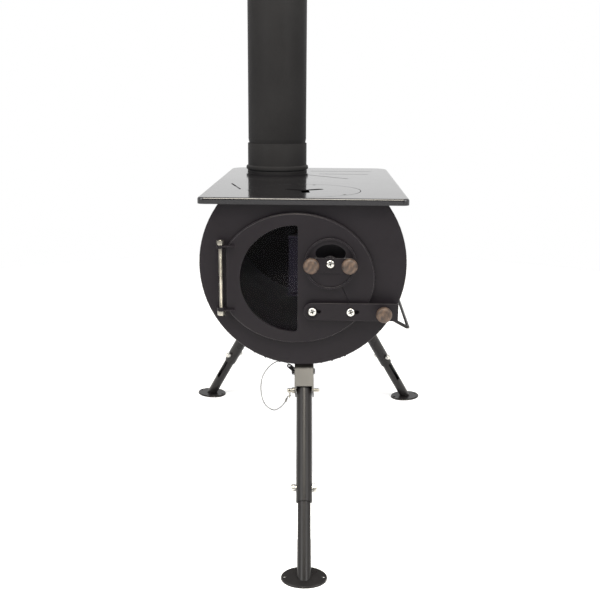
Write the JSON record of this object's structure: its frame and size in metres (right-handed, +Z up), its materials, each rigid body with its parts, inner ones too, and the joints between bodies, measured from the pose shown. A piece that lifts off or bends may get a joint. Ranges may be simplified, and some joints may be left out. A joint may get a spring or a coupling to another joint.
{
  "type": "portable tent wood stove",
  "caption": "Horseshoe-barrel tent stove with windowed swing door, rotating air control, slide latch, lift-out cooking lid, pipe section and folding telescopic legs.",
  "frame": {"origin": "middle of the stove's bounding box at ground level", "axes": "+Z up, -Y out of the door, +X to the viewer's right when facing the door"},
  "size_m": [0.4564, 0.7334, 0.88],
  "materials": {
    "black_paint": "satin heat-proof paint",
    "gloss_paint": "semi-gloss heat-proof paint",
    "bare_steel": "dull bare sheet steel",
    "zinc_plate": "bright zinc plate",
    "wood": "dark turned wood",
    "glass": "clear heat-proof glass",
    "rope": "woven sealing rope"
  },
  "bodies": {
    "stove": {"barrel_shell": "black_paint", "front_plate": "black_paint", "back_plate": "black_paint", "cooking_plate": "gloss_paint", "flue_collar": "black_paint", "body_hinge_tab_upper": "black_paint", "body_hinge_tab_lower": "black_paint", "hinge_bolt": "zinc_plate", "hinge_nut": "zinc_plate", "latch_keeper": "black_paint", "handle_lug_front": "black_paint", "handle_lug_rear": "black_paint", "front_leg_bracket": "black_paint", "front_pivot_bolt": "black_paint", "rear_left_leg_bracket": "black_paint", "rear_left_pivot_bolt": "black_paint", "rear_right_leg_bracket": "black_paint", "rear_right_pivot_bolt": "black_paint"},
    "door": {"door_panel": "black_paint", "door_glass": "glass", "glass_retainer": "bare_steel", "door_seal": "rope", "air_box": "bare_steel", "door_hinge_tab_upper": "black_paint", "door_hinge_tab_lower": "black_paint", "air_control_screw": "zinc_plate", "latch_screw_left": "zinc_plate", "latch_screw_right": "zinc_plate"},
    "air_control": {"air_control_disc": "black_paint", "air_knob_left": "wood", "air_knob_right": "wood"},
    "latch": {"latch_bar": "black_paint", "latch_knob": "wood"},
    "lid": {"cooking_lid": "gloss_paint"},
    "flue": {"flue_section": "black_paint"},
    "handle": {"side_handle": "black_paint"},
    "front_leg_upper": {"front_upper_tube": "black_paint", "front_clamp_bolt": "zinc_plate", "front_lanyard_tab": "black_paint", "front_pin_lanyard": "zinc_plate"},
    "front_leg_lower": {"front_lower_tube": "black_paint", "front_foot": "black_paint"},
    "front_lock_pin_set": {"front_lock_pin": "zinc_plate", "front_pin_ring": "zinc_plate"},
    "front_nut": {"front_clamp_nut": "zinc_plate"},
    "rear_left_leg_upper": {"rear_left_upper_tube": "black_paint", "rear_left_clamp_bolt": "zinc_plate"},
    "rear_left_leg_lower": {"rear_left_lower_tube": "black_paint", "rear_left_foot": "black_paint"},
    "rear_left_lock_pin_set": {"rear_left_lock_pin": "zinc_plate", "rear_left_pin_ring": "zinc_plate"},
    "rear_left_nut": {"rear_left_clamp_nut": "zinc_plate"},
    "rear_right_leg_upper": {"rear_right_upper_tube": "black_paint", "rear_right_clamp_bolt": "zinc_plate"},
    "rear_right_leg_lower": {"rear_right_lower_tube": "black_paint", "rear_right_foot": "black_paint"},
    "rear_right_lock_pin_set": {"rear_right_lock_pin": "zinc_plate", "rear_right_pin_ring": "zinc_plate"},
    "rear_right_nut": {"rear_right_clamp_nut": "zinc_plate"}
  },
  "joints": [
    {"name": "door_hinge", "type": "hinge", "parent": "stove", "child": "door", "pos_m": [-0.112, -0.18572, 0.3604], "axis": [0, 0, -1], "range_deg": [0, 110]},
    {"name": "air_control_turn", "type": "hinge", "parent": "door", "child": "air_control", "pos_m": [0.038, -0.18772, 0.383], "axis": [0, -1, 0], "continuous": true},
    {"name": "latch_slide", "type": "slide", "parent": "door", "child": "latch", "axis": [-1, 0, 0], "range_m": [0, 0.009]},
    {"name": "lid_lift", "type": "slide", "parent": "stove", "child": "lid", "axis": [0, 0, 1], "range_m": [0, 0.06]},
    {"name": "flue_lift", "type": "slide", "parent": "stove", "child": "flue", "axis": [0, 0, 1], "range_m": [0, 0.06]},
    {"name": "handle_swing", "type": "hinge", "parent": "stove", "child": "handle", "pos_m": [0.12203, -0.06272, 0.29875], "axis": [0, 1, 0], "range_deg": [-80, 90]},
    {"name": "front_leg_fold", "type": "hinge", "parent": "stove", "child": "front_leg_upper", "pos_m": [0.003, -0.16072, 0.22005], "axis": [0.9997, 0, 0.0262], "range_deg": [0, 120]},
    {"name": "front_leg_telescope", "type": "slide", "parent": "front_leg_upper", "child": "front_leg_lower", "axis": [0.0201, -0.6424, -0.7661], "range_m": [-0.065, 0.045]},
    {"name": "front_lock_pin_pull", "type": "slide", "parent": "front_leg_upper", "child": "front_lock_pin_set", "axis": [-0.9997, 0, -0.0262], "range_m": [0, 0.045]},
    {"name": "front_clamp_nut_turn", "type": "hinge", "parent": "front_leg_upper", "child": "front_nut", "pos_m": [0.00638, -0.26897, 0.09096], "axis": [0.9997, 0, 0.0262], "continuous": true},
    {"name": "rear_left_leg_fold", "type": "hinge", "parent": "stove", "child": "rear_left_leg_upper", "pos_m": [-0.07418, 0.23228, 0.23849], "axis": [-0.8829, 0, 0.4695], "range_deg": [0, 105]},
    {"name": "rear_left_leg_telescope", "type": "slide", "parent": "rear_left_leg_upper", "child": "rear_left_leg_lower", "axis": [-0.4346, 0.3783, -0.8173], "range_m": [-0.065, 0.045]},
    {"name": "rear_left_lock_pin_pull", "type": "slide", "parent": "rear_left_leg_upper", "child": "rear_left_lock_pin_set", "axis": [-0.8829, 0, 0.4695], "range_m": [0, 0.045]},
    {"name": "rear_left_clamp_nut_turn", "type": "hinge", "parent": "rear_left_leg_upper", "child": "rear_left_nut", "pos_m": [-0.1474, 0.29602, 0.10078], "axis": [0.7036, 0.7091, -0.0459], "continuous": true},
    {"name": "rear_right_leg_fold", "type": "hinge", "parent": "stove", "child": "rear_right_leg_upper", "pos_m": [0.07418, 0.23228, 0.23849], "axis": [-0.8829, 0, -0.4695], "range_deg": [0, 105]},
    {"name": "rear_right_leg_telescope", "type": "slide", "parent": "rear_right_leg_upper", "child": "rear_right_leg_lower", "axis": [0.4346, 0.3783, -0.8173], "range_m": [-0.065, 0.045]},
    {"name": "rear_right_lock_pin_pull", "type": "slide", "parent": "rear_right_leg_upper", "child": "rear_right_lock_pin_set", "axis": [0.8829, 0, 0.4695], "range_m": [0, 0.045]},
    {"name": "rear_right_clamp_nut_turn", "type": "hinge", "parent": "rear_right_leg_upper", "child": "rear_right_nut", "pos_m": [0.1474, 0.29602, 0.10078], "axis": [0.7036, -0.7091, 0.0459], "continuous": true}
  ]
}
